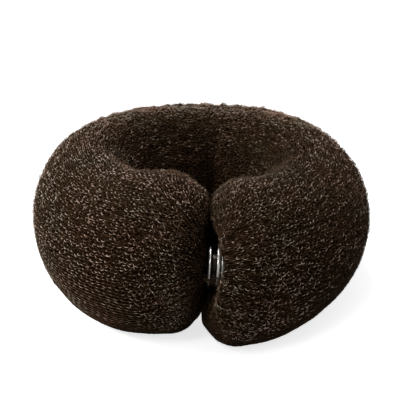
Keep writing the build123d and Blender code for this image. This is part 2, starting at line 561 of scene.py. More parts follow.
@dataclass
class Strands:
    """Many bent strands of yarn, kept as points until they are made into tubes."""

    lines: list[np.ndarray] = field(default_factory=list)
    outs: list[np.ndarray] = field(default_factory=list)
    shines: list[np.ndarray] = field(default_factory=list)
    radii: list[float] = field(default_factory=list)
    lowest: float = 0.02 * MM

    def add(self, line: np.ndarray, out: np.ndarray, shine: np.ndarray, radius: float) -> None:
        """Adds one strand.

        Args:
            line: Its points.
            out: The direction away from the roll at each point.
            shine: How light the yarn is painted at each point, as painted highlight and shade, from
                0 to 1.
            radius: Half its thickness.
        """
        self.lines.append(line)
        self.outs.append(out)
        self.shines.append(shine)
        self.radii.append(radius)

    def tubes(self, name: str) -> bpy.types.Object:
        """One mesh of closed three-sided tubes.

        Args:
            name: The piece's name.

        Returns:
            The object.
        """
        counts = np.array([len(line) for line in self.lines])
        line, out = np.concatenate(self.lines), np.concatenate(self.outs)
        radius = np.repeat(self.radii, counts)[:, None]
        first = np.cumsum(counts) - counts
        last = first + counts - 1
        total = len(line)
        ahead, behind = np.arange(total) + 1, np.arange(total) - 1
        ahead[last], behind[first] = last, first
        run = unit(line[ahead] - line[behind])
        across = unit(np.cross(run, out))
        up = np.cross(across, run)
        ring = []
        for turn in np.radians((90, 210, 330)):
            ring.append(line + radius * (math.cos(turn) * across + math.sin(turn) * up))
        points = np.stack(ring, 1).reshape(-1, 3)
        points[:, 2] = np.maximum(points[:, 2], self.lowest)
        here = np.setdiff1d(np.arange(total), last)
        cells, flat = [], []
        wide = int(math.ceil(math.sqrt(3 * len(here))))
        tall = math.ceil(len(here) / wide) * 3
        order = np.arange(len(here))
        for side in range(3):
            other = (side + 1) % 3
            a, b = 3 * here, 3 * (here + 1)
            cells.append(np.stack([a + side, b + side, b + other, a + other], 1))
            x, y = order % wide, order // wide * 3 + side
            box = [(x, y), (x + 1, y), (x + 1, y + 1), (x, y + 1)]
            flat.append(np.stack([np.stack([u / wide, v / tall], 1) for u, v in box], 1))
        quads = np.concatenate(cells)
        starts = np.stack([3 * first + 1, 3 * first + 2, 3 * first], 1)
        stops = np.stack([3 * last + 2, 3 * last + 1, 3 * last], 1)
        caps = np.concatenate([starts, stops])
        flat_map = np.concatenate([np.concatenate(flat).reshape(-1, 2), np.zeros((caps.size, 2))])
        corners = np.concatenate([quads.ravel(), caps.ravel()])
        sizes = np.concatenate([np.full(len(quads), 4), np.full(len(caps), 3)])
        piece = make_mesh(name, points, corners, sizes, flat_map)
        # the painted highlights and shade, kept on each vertex for the yarn's colour
        mark(piece, "shine", np.repeat(np.concatenate(self.shines), 3))
        return piece


@dataclass(frozen=True)
class Knit:
    """How regular the knitting is from place to place, and which way its stitches lie."""

    least: float = 0.05  # how regular it is at the ends, from 0 to 1
    inner: float = 0.20  # how much more elsewhere
    outer: float = 0.67  # and how much more again on the stretched outer sides
    on_right: float = 0.45  # the share of that on the right-hand side
    by_snap: float = 0.3  # how regular it is to the right of the snap
    curls_low: float = 0.35  # how far stitches are curls low on the left-hand side
    curls_high: float = 0.5  # and how much more they are high on it
    neat_lean: float = 0.5  # how far neat stitches lean across their rows at the front

    def neatness(self, at: Spots) -> np.ndarray:
        """How regular the knitting looks, from 0 to 1: most on the stretched outer sides.

        Args:
            at: Places on the net.

        Returns:
            A share of the most regular for each.
        """
        outer = at.within(reach=(36, 44), z=(24, 16))
        left = np.maximum(at.within(x=(13.5, -16.5)), self.on_right)
        near = self.by_snap * at.within(end=(19, 14)) * (at.x > 0)
        spread = (self.inner + self.outer * outer) * at.within(end=(17, 26)) * left
        return self.least + spread + near

    def curly(self, at: Spots) -> np.ndarray:
        """How far the stitches are small curls, from 0 to 1: all but low on the left-hand side."""
        left = self.curls_low + self.curls_high * at.within(z=(20, 28))
        return np.maximum(at.within(x=(-24.45, -15.45)), left)

    def lean(self, at: Spots) -> np.ndarray:
        """How much the stitches lean across their rows, and which way."""
        return self.neat_lean * self.neatness(at) - at.within(y=(-20, 0))


@dataclass(frozen=True)
class Shine:
    """How light the yarn of a row is painted: a painted highlight on the crest of each stitch, and
    more on some.
    """

    narrow: float = 2.0  # the power that narrows the light part of a crest
    narrow_curly: float = 0.1  # how much less it is where stitches are curls
    narrow_neat: float = 1.3  # or neat
    narrow_top: float = 0.5  # and how much more on top
    neat_crest: float = 0.28  # the share by which a neat stitch's crest is darker
    neat_all: float = 0.24  # and how light such a stitch is all along
    bright: float = 0.83  # how light a crest's painted highlight is
    bright_neat: float = 0.34  # how much less where the net is neat
    uneven: float = 0.23  # how much one stitch differs from another
    uneven_neat: float = 0.13  # how much less where the net is neat
    uneven_lively: float = 0.34  # and how much more on top and to the right
    lively_left: float = 0.80
    lively_right: float = 0.45  # more there
    even: float = 0.93  # the share by which the crests' painted highlights are evened out in the fluffy part
    halo: float = 0.31  # and how light that part is painted all over, as a painted halo
    halo_top: float = 0.15  # more on top

    def along(
        self,
        at: Spots,
        tone: Tone,
        turn: np.ndarray,
        neat: np.ndarray,
        curly: np.ndarray,
        glow: np.ndarray,
    ) -> np.ndarray:
        """How light a row's yarn is painted, with painted highlights on its crests and painted light
        and shade from place to place.

        Args:
            at: The row's places, before they are bent into stitches.
            tone: How light the net is from place to place.
            turn: How far round its stitch each is, in radians, with the crest at 0.
            neat: How regular the knitting is at each.
            curly: How far the stitches are small curls.
            glow: How much lighter one stitch is than another, about 0.

        Returns:
            A number from 0 to 1 at each place.
        """
        soft, top = tone.softness(at), at.within(z=(22, 32))
        narrow = self.narrow - self.narrow_curly * curly - self.narrow_neat * neat
        narrow = narrow + self.narrow_top * top * (1 - soft)
        crest = (0.5 + 0.5 * np.cos(turn)) ** narrow
        crest = crest * (1 - self.neat_crest * neat) + self.neat_all * neat
        lively = np.maximum(top, at.within(x=(-0.45, 11.55))) * (1 - soft)
        lively = lively * (self.lively_left + self.lively_right * at.within(x=(-5.45, 14.55)))
        uneven = self.uneven - self.uneven_neat * neat + self.uneven_lively * lively
        bright = self.bright - self.bright_neat * neat + uneven * glow
        halo = soft * (self.halo + self.halo_top * at.within(z=(36, 42)))
        return np.clip(crest * bright * tone.painted_light(at) * (1 - self.even * soft) + halo, 0, 1)


@dataclass(frozen=True)
class Stitch:
    """How the stitches are bent: neat ones sway, and loose ones turn in small loops."""

    neat: float = 2.5 * MM  # long, on the stretched outer side
    loose: float = 0.95 * MM  # and elsewhere
    flank_stretch: float = 0.85  # the share by which those on the flanks are longer
    flank_power: int = 3  # how closely that keeps to the flanks
    sway: float = 0.30  # from side to side, in rows
    lag: float = 0.7  # radians by which the sway comes before the crest
    loop_back: float = 0.20  # how far back a curled stitch turns, in stitches
    loop_rise: float = 0.36  # and how far to each side, in rows
    loop_uneven: float = 0.35  # the share by which one loop is larger than another
    in_hole: float = 0.7  # the share by which they are wider in the hole
    twist: float = 1.8  # radians by which one curl is turned from another
    shift: float = 0.16  # how unevenly loose stitches are spaced, in stitches
    drift: float = 0.04  # how far a row strays to each side, in rows
    drift_loose: float = 0.26  # and how much farther where it is loose
    rise: float = 0.40 * MM
    rise_middle: float = 0.15  # how far a stitch's middle line stands out, as a share of the rise
    rise_uneven: float = 0.6  # and how much loose ones differ in that
    rise_loose: float = 0.65  # the share of the rise that loose stitches have
    rise_less: float = 0.25  # and how much less neat ones have
    rise_neat: float = 0.12  # how far all of a neat stitch stands out
    pace: float = 1.3  # how many times in a stitch its spacing and size change,
    glow_pace: float = 1.2  # how light it is,
    twist_pace: float = 0.8  # and its twist


@dataclass(frozen=True)
class Curl:
    """The loose curls of yarn on the net: half of them lie on it, and half stand up."""

    count: int = 9600
    on_ends: float = 1.8  # the share by which there are more on the roll's ends
    on_lips: float = 1.2  # on the seam's upper edges
    on_brink: float = 1.5  # and on the hole's
    points: int = 8
    sweep: tuple[float, float] = (3.0, 5.6)  # radians
    flat_radius: tuple[float, float] = (0.26, 0.62)  # millimetres
    standing_radius: tuple[float, float] = (0.26, 0.46)
    height: tuple[float, float] = (0.05, 0.40)
    flat_lean: float = 0.35  # radians, at random
    standing_lean: float = 1.3
    squeeze: tuple[float, float] = (0.6, 1.0)  # how narrow they are
    wide_slack: float = 0.8  # the share by which they are wider at the snap's lower right
    wide_fluffy: float = 0.35  # and on top at the back
    high_rim: float = 1.1  # and by which they stand higher on the ring's outline
    slack_from: float = 2.55  # how far to the right that starts
    deep: float = 0.6  # how far a standing curl goes in, as a share of its height
    dim: float = 0.05  # how light the darkest are painted
    bright: float = 0.8  # and how much lighter the lightest, as painted highlights
    bright_power: float = 1.5
    bright_brink: float = 0.6  # the share by which those on the hole's edge are lighter, as painted highlight
    ends_dim: float = 0.4  # how light a curl's two ends are, as painted shade
    neat_gone: float = 0.6  # the share that is left out where the knitting is neat
    standing_gone: float = 0.25
    far_gone: float = 0.85  # and of those that lie flat far from the snap
    rim_most: float = 0.8
    bend: float = 20 * MM  # the roll's radius, which those that lie flat follow
    brink_least: float = 0.2  # how near the hole's edge they are, where they are in the hole
    seam_clear: float = 0.7  # how far they keep from the seam, in millimetres
    snap_clear: float = 8 * MM  # and from the snap's axis


@dataclass(frozen=True)
class Thread:
    """The slack threads of the net that hang across the lower part of the snap's edge."""

    count: int = 12
    points: int = 22
    fall: tuple[float, float] = (24.0, 44.0)  # degrees down from the snap's near side
    slant: float = 0.10  # radians that one falls or rises from end to end
    waver: float = 0.05  # radians that it strays, and how many times in its length
    wavers: int = 3
    reach: tuple[float, float] = (6.42, 6.54)  # millimetres from the snap's axis
    tuck: float = 0.9  # and how much nearer its ends are
    ends: tuple[float, float] = (-2.6, 4.8)  # millimetres along the axis
    bright: float = 0.15
    bright_power: int = 3
    thick: float = 1.2  # as a share of the yarn's
    near_side: tuple[float, float, float] = (0.0, -0.897, 0.442)  # of the snap, to the camera


@dataclass
class Net:
    """The knitted net over the roll: rows of wavy stitches along it, and loose curls on them."""

    surface: RollSurface
    tone: Tone
    finish: bpy.types.Material
    seed: int = 7
    row_count: int = 160  # around the roll
    knit: Knit = Knit()
    stitch: Stitch = Stitch()
    shine: Shine = Shine()
    curl: Curl = Curl()
    thread: Thread = Thread()
    step: float = 0.202 * MM  # between points along a row
    coarser: float = 0.7  # the share by which it is longer in the hole and where the net is neat
    under_step: float = 0.55 * MM  # and in the rows that the ring rests on
    under_height: float = 4 * MM
    rough_points: int = 240  # along half a row, to share out its points
    yarn: float = 0.055 * MM  # radius
    thickest: tuple[float, float] = (0.85, 1.15)  # how one strand's radius differs from another's
    curl_thickest: tuple[float, float] = (0.7, 1.0)
    back_ends: tuple[float, float] = (-1.0, 0.5)  # stitches from the back to where half a row ends
    crowding: float = 0.40  # how much closer the rows are on top than on the outer side
    crowd_turn: float = 0.5  # radians from the top to where that is greatest, towards the hole
    crowd_least: float = -0.6
    thinning: float = 0.28  # and how much farther apart in the hole
    stop_left: float = 5.4 * MM  # from the snap's axis
    stop_right: float = 6.2 * MM
    closest: float = 0.48 * MM  # between two rows that run on
    seam_clear: float = 0.45 * MM
    places: tuple[str, ...] = (
        "net_front_left",
        "net_side_left",
        "net_back_left",
        "net_back_right",
        "net_side_right",
        "net_front_right",
    )

    def build(self) -> list[bpy.types.Object]:
        """Makes the net.

        Returns:
            One piece for each place round the ring.
        """
        self.rng = np.random.default_rng(self.seed)
        self.parts = [Strands() for _ in self.places]
        self.columns = self._even_columns()
        for index in range(self.row_count):
            self._row(index)
        self._curls()
        self._snap_threads()
        pieces = [strands.tubes(name) for name, strands in zip(self.places, self.parts)]
        for piece in pieces:
            dress(piece, self.finish, "nylon_net")
        return pieces

    def _even_columns(self) -> np.ndarray:
        """The grid columns of the rows of stitches, closer together on top of the roll.

        Returns:
            A column for each row, and the first one again, one turn on.
        """
        s = self.surface
        ring = s.points[s.cap_rows : -s.cap_rows]
        steps = np.linalg.norm(np.roll(ring, -1, 1) - ring, axis=-1).mean(0)
        around = np.arange(s.columns) / s.columns * FULL_TURN
        crowd = np.clip(np.sin(around - self.crowd_turn), self.crowd_least, 1)
        crowd = 1 + self.crowding * crowd
        crowd = crowd - self.thinning * np.clip(-np.cos(around), 0, 1) ** 2
        reach = running_length(steps * crowd)
        wanted = np.linspace(0, reach[-1], self.row_count + 1)
        return np.interp(wanted, reach, np.arange(s.columns + 1))

    def _column(self, index: np.ndarray) -> np.ndarray:
        """The grid column of a row number, whole or between, which may pass once round.

        Args:
            index: The row's number at each place.

        Returns:
            A column for each place.
        """
        whole = np.floor(index / self.row_count)
        part = index - whole * self.row_count
        part = np.interp(part, np.arange(self.row_count + 1), self.columns)
        return part + whole * self.surface.columns

    def _part(self, at: Spots) -> np.ndarray:
        """The number of the piece that each place belongs to, from 0 to 5."""
        bearing = np.degrees(np.arctan2(at.x, -at.y)) % 360
        return ((360 - bearing) / 60).astype(int).clip(0, 5)

    def _wander(self, spots: np.ndarray) -> np.ndarray:
        """A smooth random run of numbers of about unit size.

        Args:
            spots: Rising places, from 0, at which it is wanted; one apart, it is another number.

        Returns:
            The number at each place.
        """
        i = spots.astype(int)
        knots = self.rng.normal(size=i[-1] + 2)
        f = spots - i
        f = f * f * (3 - 2 * f)
        return knots[i] * (1 - f) + knots[i + 1] * f

    def _row(self, index: int) -> None:
        """Knits one row, from each end of the roll to the middle of its back.

        Args:
            index: The row's number, round the roll.
        """
        s = self.surface
        levels = np.arange(s.rows)
        line, _ = s.at(levels, self._column(np.full(s.rows, float(index))))
        beside, _ = s.at(levels, self._column(np.full(s.rows, index + 1.0)))
        gap = np.linalg.norm(beside - line, axis=-1)
        gap = gap * (4 if index % 4 == 0 else 2 if index % 4 == 2 else 1)  # three in four stop
        length = running_length(np.linalg.norm(np.diff(line, axis=0), axis=-1))
        middle = length[s.rows // 2]
        under = line[s.cap_rows : -s.cap_rows, 2].mean() < self.under_height
        step = self.under_step if under else self.step
        for side in Side:
            left = side is Side.LEFT
            half = levels < s.rows // 2 if left else levels >= s.rows // 2
            stop = self.stop_left if left else self.stop_right
            knitted = np.flatnonzero(half & (gap >= self.closest) & (s.snap_distance(line) > stop))
            begin = length[knitted[0] if left else knitted[-1]]
            end = middle + side.value * self.rng.uniform(*self.back_ends) * self.stitch.loose
            self._stitches(index, length, begin, end, step)

    def _spread(
        self, index: int, length: np.ndarray, begin: float, end: float, step: float
    ) -> np.ndarray:
        """Shares out the points of half a row, farther apart in the hole and where it is neat.

        Args:
            index: The row's number.
            length: How far along the row each grid row is.
            begin: Where the half row starts, near the snap.
            end: Where it ends, at the back.
            step: How far apart its points are elsewhere.

        Returns:
            How far along the row each point is.
        """
        rough = np.linspace(begin, end, self.rough_points)
        at = self._on_row(index, length, rough)
        coarse = 1 + self.coarser * np.maximum(self.knit.neatness(at), self.tone.hidden(at))
        reach = running_length(np.abs(np.diff(rough)) / coarse[1:])
        count = int(reach[-1] / step) + 2
        return np.interp(np.linspace(0, reach[-1], count), reach, rough)

    def _on_row(self, index: int, length: np.ndarray, places: np.ndarray) -> Spots:
        """The spots at some places along a row's middle line.

        Args:
            index: The row's number.
            length: How far along the row each grid row is.
            places: How far along it they are.

        Returns:
            Their spots.
        """
        s = self.surface
        level = np.interp(places, length, np.arange(s.rows))
        return s.spots(s.at(level, self._column(np.full(len(places), float(index))))[0])

    def _stitches(
        self, index: int, length: np.ndarray, begin: float, end: float, step: float
    ) -> None:
        """Knits half a row of yarn that comes up and goes back in once in each stitch.

        Args:
            index: The row's number.
            length: How far along the row each grid row is.
            begin: Where the half row starts, near the snap.
            end: Where it ends, at the back.
            step: How far apart its points are.
        """
        s, stitch = self.surface, self.stitch
        places = self._spread(index, length, begin, end, step)
        at = self._on_row(index, length, places)
        neat, curly = self.knit.neatness(at), self.knit.curly(at)
        loose, wild = 1 - neat, 1 + stitch.in_hole * self.tone.hidden(at)
        flank = np.abs(at.x / at.reach) ** stitch.flank_power
        loose_pitch = stitch.loose * (1 + stitch.flank_stretch * flank)
        pitch = loose_pitch + (stitch.neat - loose_pitch) * neat
        number = running_length(np.abs(np.diff(places)) / pitch[1:])
        shift, swing, lift, size = (self._wander(number * stitch.pace) for _ in range(4))
        size = 1 + stitch.loop_uneven * size
        glow = self._wander(number * stitch.glow_pace)
        turn = FULL_TURN * (number + 0.5 * (index % 2))
        twist = turn + stitch.twist * self._wander(number * stitch.twist_pace)
        wide = curly * loose * size * wild
        along = number + wide * stitch.loop_back * np.cos(twist) + stitch.shift * loose * shift
        across = stitch.sway * self.knit.lean(at) * np.sin(turn + stitch.lag * neat) * (1 - curly)
        across = across + wide * stitch.loop_rise * np.sin(twist)
        across = across + (stitch.drift + stitch.drift_loose * loose) * swing * wild
        place = np.interp(np.clip(along, 0, number[-1]), number, places)
        level = np.interp(place, length, np.arange(s.rows))
        line, out = s.at(level, self._column(index + across))
        raised = np.cos(turn) * size + stitch.rise_middle + stitch.rise_uneven * loose * lift
        raised = raised * (stitch.rise_loose - stitch.rise_less * neat)
        raised = stitch.rise * (raised + stitch.rise_neat * neat)
        line = line + out * (raised * s.fuzz(at.points))[:, None]
        shine = self.shine.along(at, self.tone, turn, neat, curly, glow)
        clear = np.abs(s.seam_distance(line)) > self.seam_clear
        radius = self.yarn * self.rng.uniform(*self.thickest)
        self._split(line, out, shine, clear, radius)

    def _split(
        self, line: np.ndarray, out: np.ndarray, shine: np.ndarray, keep: np.ndarray, radius: float
    ) -> None:
        """Adds a row's strands, cut where a piece ends or the seam hides them.

        Args:
            line: The row's points.
            out: The direction away from the roll at each.
            shine: How light the yarn is painted at each, as painted highlight and shade.
            keep: Whether each point is to be made.
            radius: Half the yarn's thickness.
        """
        part = self._part(self.surface.spots(line))
        cuts = np.flatnonzero((np.diff(part) != 0) | (np.diff(keep.astype(int)) != 0)) + 1
        for run in np.split(np.arange(len(line)), cuts):
            cut = slice(run[0], min(run[-1] + 2, len(line)))
            if keep[run[0]] and cut.stop - cut.start >= 4:
                self.parts[part[run[0]]].add(line[cut], out[cut], shine[cut], radius)

    def _curl_places(self) -> tuple[np.ndarray, ...]:
        """Picks the places of the loose curls, more of them on the ends, lips and hole's edge.

        Returns:
            Their middles, the outward directions, and two directions across each.
        """
        s = self.surface
        grid = s.points[:-1]
        wide = np.linalg.norm(np.roll(grid, -1, 1) - grid, axis=-1)
        long = np.linalg.norm(np.diff(s.points, axis=0), axis=-1)
        at, curl = s.spots(grid), self.curl
        more = curl.on_ends * at.within(end=(24, 19))
        more = more + curl.on_lips * at.within(gap=(6, 0), z=(34, 38))
        area = wide * long * (1 + more + curl.on_brink * self.tone.brink(at))
        chance = np.cumsum(area.ravel()) / area.sum()
        cell = np.searchsorted(chance, self.rng.uniform(size=curl.count))
        row = cell // s.columns + self.rng.uniform(size=curl.count)
        column = cell % s.columns + self.rng.uniform(size=curl.count)
        middle, out = s.at(row, column)
        along = unit(s.at(row + 1.0, column)[0] - middle)
        along = unit(along - out * (along * out).sum(-1, keepdims=True))
        across = np.cross(out, along)
        turn = self.rng.uniform(0, FULL_TURN, (curl.count, 1))
        first = np.cos(turn) * along + np.sin(turn) * across
        second = np.cos(turn) * across - np.sin(turn) * along
        return middle, out, first, second

    def _curls(self) -> None:
        """Scatters loose curls of yarn over the rows."""
        s, tone, curl, rng = self.surface, self.tone, self.curl, self.rng
        middle, out, along, across = self._curl_places()
        at = s.spots(middle)
        brink, soft, painted_light = tone.brink(at), tone.softness(at), tone.painted_light(at)
        part, neat, fuzz = self._part(at), self.knit.neatness(at), s.fuzz(middle)
        bare = (at.gap < curl.seam_clear) | (s.snap_distance(middle) < curl.snap_clear)
        bare = bare | (tone.hidden(at) > 0) & (brink < curl.brink_least)
        far = np.minimum(at.within(end=(24, 40)), curl.far_gone) * (1 - brink)
        rim = np.minimum(at.within(reach=(38, 43)), curl.rim_most) * at.within(z=(14, 22))
        rim = np.maximum(soft, rim)
        slack = at.within(end=(26, 21), z=(24, 18)) * (at.x > curl.slack_from)
        fade = np.sin(np.linspace(0, math.pi, curl.points))
        fade = curl.ends_dim + (1 - curl.ends_dim) * fade
        for k in range(curl.count):
            stands = rng.uniform() < 0.5
            radius = rng.uniform(*(curl.standing_radius if stands else curl.flat_radius)) * MM
            radius *= 1 + curl.wide_slack * slack[k] + curl.wide_fluffy * soft[k]
            sweep = rng.uniform(*curl.sweep)
            start = rng.uniform(0, FULL_TURN)
            tilt = curl.standing_lean if stands else rng.normal(0, curl.flat_lean)
            height = rng.uniform(*curl.height) * MM * (1 + curl.high_rim * rim[k])
            squeeze = rng.uniform(*curl.squeeze)
            bright = curl.dim + curl.bright * rng.uniform() ** curl.bright_power
            bright *= 1 + curl.bright_brink * brink[k]
            gone = curl.standing_gone if stands else far[k]
            if bare[k] or rng.uniform() < max(curl.neat_gone * neat[k], 1 - fuzz[k], gone):
                continue
            turn = start + np.linspace(0, sweep, curl.points)
            x, y = radius * np.cos(turn), radius * squeeze * np.sin(turn)
            lift = np.maximum(-curl.deep * height, x * math.sin(tilt))
            flat = x * math.cos(tilt)
            lift = (height + lift) * fuzz[k] - (flat * flat + y * y) / (2 * curl.bend)
            line = middle[k] + np.outer(flat, along[k]) + np.outer(y, across[k])
            line = line + np.outer(lift, out[k])
            outs = np.repeat(out[k][None], curl.points, 0)
            thick = self.yarn * rng.uniform(*self.curl_thickest)
            self.parts[part[k]].add(line, outs, bright * painted_light[k] * fade, thick)

    def _snap_threads(self) -> None:
        """Lays slack threads of the net across the lower part of the snap's edge."""
        thread, rng = self.thread, self.rng
        ahead = np.array(thread.near_side)
        up = np.array([0.0, ahead[2], -ahead[1]])
        run = np.linspace(0, 1, thread.points)
        for _ in range(thread.count):
            fall = math.radians(rng.uniform(*thread.fall))
            angle = fall + rng.normal(0, thread.slant) * (run - 0.5)
            angle = angle + thread.waver * self._wander(run * thread.wavers)
            reach = rng.uniform(*thread.reach) - thread.tuck * (2 * run - 1) ** 4
            out = np.outer(np.cos(angle), ahead) - np.outer(np.sin(angle), up)
            line = SNAP_MIDDLE + out * reach[:, None] * MM
            line[:, 0] += np.interp(run, (0, 1), thread.ends) * MM
            shine = thread.bright * rng.uniform() ** thread.bright_power * np.ones(len(run))
            self.parts[-1].add(line, out, shine, self.yarn * thread.thick)


@dataclass
class Padding:
    """The wound layers of net under the outer one, seen through it as a dark, soft form."""

    surface: RollSurface
    tone: Tone
    finish: bpy.types.Material
    inset: float = 0.22 * MM
    seam_inset: float = -0.13 * MM  # it stands proud at the seam, where the ends press together
    seam_width: float = 1.2 * MM
    fill: float = 0.85

    def build(self) -> bpy.types.Object:
        """Makes the roll's body.

        Returns:
            A closed mesh.
        """
        s = self.surface
        rows = np.unique(np.concatenate([np.arange(1, s.rows - 1, 2), [s.rows - 2]]))
        level = np.clip(np.abs(s.seam_distance(s.points)) / self.seam_width, 0, 1)
        inset = self.seam_inset + (self.inset * s.fuzz(s.points) - self.seam_inset) * level**2
        grid = (s.points - s.normals * inset[..., None])[rows][:, ::2]
        grid[..., 2] = np.maximum(grid[..., 2], 0.0)
        tall, wide = grid.shape[:2]
        poles = [s.points[0].mean(0), s.points[-1].mean(0)]
        points = np.concatenate([grid.reshape(-1, 3), poles])
        corners, sizes = capped_grid(tall, wide)
        flat_map = self._flat_map(tall, wide)
        piece = make_mesh("padding", points, corners, sizes, flat_map)
        # painted shade on the padding, darkest in the seam and the hole
        mark(piece, "shade", self.tone.layers(s.spots(points)))
        dress(piece, self.finish, "nylon_net", "padded_roll")
        return piece

    def _flat_map(self, tall: int, wide: int) -> np.ndarray:
        """The padding's flat map: its grid as a sheet, with the two end caps in a strip beside it.

        Args:
            tall: The grid's rows.
            wide: Its columns.

        Returns:
            The place of each corner.
        """
        i, j = (a.ravel() for a in np.meshgrid(np.arange(tall - 1), np.arange(wide), indexing="ij"))
        u, v, du, dv = i / (tall + 1), j / wide, 1 / (tall + 1), 1 / wide
        box = ((u, v), (u, v + dv), (u + du, v + dv), (u + du, v))
        sheet = np.stack([np.stack(c, 1) for c in box], 1)
        ring, edge, tip = np.arange(wide), tall / (tall + 1), 1.0
        cap = ((edge, ring + 0.5), (tip, ring + 1), (tip, ring))
        cap = np.stack([np.stack([np.full(wide, a), b / wide / 2], 1) for a, b in cap], 1)
        return np.concatenate([part.reshape(-1, 2) for part in (sheet, cap, cap + [0, 0.5])])


def capped_grid(
    tall: int, wide: int, inside_out: bool = False
) -> tuple[np.ndarray, np.ndarray]:
    """The faces of a grid that goes round, closed at each end by a fan to one more point.

    Args:
        tall: Its rows.
        wide: Its columns. The points of the two fans come after the grid's.
        inside_out: Whether the faces look the other way.

    Returns:
        The vertex number at each corner, and how many corners each face has.
    """
    i, j = (a.ravel() for a in np.meshgrid(np.arange(tall - 1), np.arange(wide), indexing="ij"))
    k = (j + 1) % wide
    quads = np.stack([i * wide + j, i * wide + k, (i + 1) * wide + k, (i + 1) * wide + j], 1)
    ring = np.arange(wide)
    after = (ring + 1) % wide
    base = (tall - 1) * wide
    low = np.stack([np.full(wide, tall * wide), after, ring], 1)
    high = np.stack([np.full(wide, tall * wide + 1), base + ring, base + after], 1)
    way = -1 if inside_out else 1
    corners = np.concatenate([faces[:, ::way].ravel() for faces in (quads, low, high)])
    return corners, np.concatenate([np.full(len(quads), 4), np.full(2 * wide, 3)])


def rounded(
    corners: list[tuple[float, float, float]], steps: int = 4, most: float = 0.45
) -> list[tuple[float, float]]:
    """A profile with rounded corners.

    Args:
        corners: Along, out and radius of each corner, in millimetres.
        steps: How many points round one corner.
        most: The share of an edge that the rounding at one end of it takes.

    Returns:
        The profile's points.
    """
    points = [corners[0][:2]]
    for before, (x, y, radius), after in zip(corners, corners[1:], corners[2:]):
        back = np.array([before[0] - x, before[1] - y])
        on = np.array([after[0] - x, after[1] - y])
        lengths = np.linalg.norm(back), np.linalg.norm(on)
        cut = min(radius, most * lengths[0], most * lengths[1])
        a, b = back / lengths[0] * cut, on / lengths[1] * cut
        for t in np.linspace(0, 1, steps):
            p = (1 - t) ** 2 * a + t**2 * b
            points.append((x + p[0], y + p[1]))
    return [*points, corners[-1][:2]]


@dataclass
class SnapHalf:
    """One half of the snap, turned round the snap's axis."""

    name: str
    node: str
    finish: bpy.types.Material
    corners: list[tuple[float, float, float]]  # of its profile, as STUD has them
    steps: int = 96

    def build(self) -> bpy.types.Object:
        """Turns the profile.

        Returns:
            A closed mesh.
        """
        axis = np.array([math.cos(SEAM_LEAN), 0, -math.sin(SEAM_LEAN)])
        up = np.array([math.sin(SEAM_LEAN), 0, math.cos(SEAM_LEAN)])
        turn = np.linspace(0, FULL_TURN, self.steps, endpoint=False)
        spoke = np.outer(np.cos(turn), up) + np.outer(np.sin(turn), [0.0, -1.0, 0.0])
        profile = rounded(self.corners)
        middle = np.array(SNAP_MIDDLE)
        rings = [middle + MM * (along * axis + out * spoke) for along, out in profile[1:-1]]
        tips = [middle + MM * profile[k][0] * axis for k in (0, -1)]
        corners, sizes = capped_grid(len(rings), self.steps, inside_out=True)
        piece = make_mesh(self.name, np.concatenate([*rings, tips]), corners, sizes)
        dress(piece, self.finish, "snap_metal", self.node)
        return piece


# The corners of each half's profile: along the axis to the right, out from it, and how far round it
# is there, in millimetres.
STUD = [
    (-4.6, 0, 0), (-4.6, 1.4, 0.2), (-1.6, 1.4, 0.1), (-1.6, 5.6, 0.2), (-1.1, 6.3, 0.1),
    (-0.8, 6.3, 0.2), (-0.8, 1.7, 0.1), (0.2, 1.7, 0.1), (0.4, 2.1, 0.2), (1.2, 1.7, 0.2),
    (1.2, 0, 0),
]
SOCKET = [
    (1.32, 0, 0), (1.32, 2.22, 0.1), (0.08, 2.22, 0.05), (0.08, 1.82, 0.05), (-0.5, 1.82, 0.1),
    (-0.5, 3.9, 0.3), (0.8, 3.9, 0.1), (0.8, 6.3, 0.2), (1.65, 6.3, 0.2), (1.7, 5.8, 0.1),
    (1.8, 5.6, 0.1), (1.95, 6.0, 0.2), (3.0, 6.0, 0.4), (3.0, 1.4, 0.1), (6.0, 1.4, 0.2),
    (6.0, 0, 0),
]


@dataclass(frozen=True)
class Graph:
    """A tree of shader nodes under construction."""

    tree: bpy.types.NodeTree

    def add(self, kind: str, inputs: dict | None = None, **choices: object) -> bpy.types.Node:
        """Adds a node.

        Args:
            kind: Its type, without the words ShaderNode.
            inputs: What each input is set to or linked from, by its name or number.
            choices: The node's other settings.

        Returns:
            The node.
        """
        node = self.tree.nodes.new(f"ShaderNode{kind}")
        for name, choice in choices.items():
            setattr(node, name, choice)
        self.feed(node, inputs or {})
        return node

    def feed(self, node: bpy.types.Node, inputs: dict) -> None:
        """Sets or links a node's inputs.

        Args:
            node: The node.
            inputs: A number, a colour or another node's output for each input, by name or number.
        """
        for key, value in inputs.items():
            if isinstance(value, bpy.types.NodeSocket):
                self.tree.links.new(value, node.inputs[key])
            else:
                node.inputs[key].default_value = value

    def blend(self, share: object, first: object, second: object, kind: str = "MIX") -> object:
        """Mixes two colours.

        Args:
            share: How much of the second there is.
            first: A colour or an output.
            second: Another one.
            kind: How they are mixed.

        Returns:
            The output that holds the mixture.
        """
        inputs = {0: share, 6: first, 7: second}
        return self.add("Mix", inputs, data_type="RGBA", blend_type=kind).outputs[2]


def new_group(name: str, inputs: dict[str, float], *outputs: str) -> tuple[Graph, object, object]:
    """An empty shared node group.

    Args:
        name: What it is called.
        inputs: Its numbers, with the values that they start from.
        outputs: The numbers that it gives.

    Returns:
        Its graph, the outputs that hold its inputs, and the node that takes what it gives.
    """
    tree = bpy.data.node_groups.new(name, "ShaderNodeTree")
    for key, value in inputs.items():
        made = tree.interface.new_socket(key, in_out="INPUT", socket_type="NodeSocketFloat")
        made.default_value = value
    for key in outputs:
        tree.interface.new_socket(key, in_out="OUTPUT", socket_type="NodeSocketFloat")
    given, result = tree.nodes.new("NodeGroupInput"), tree.nodes.new("NodeGroupOutput")
    return Graph(tree), given.outputs, result


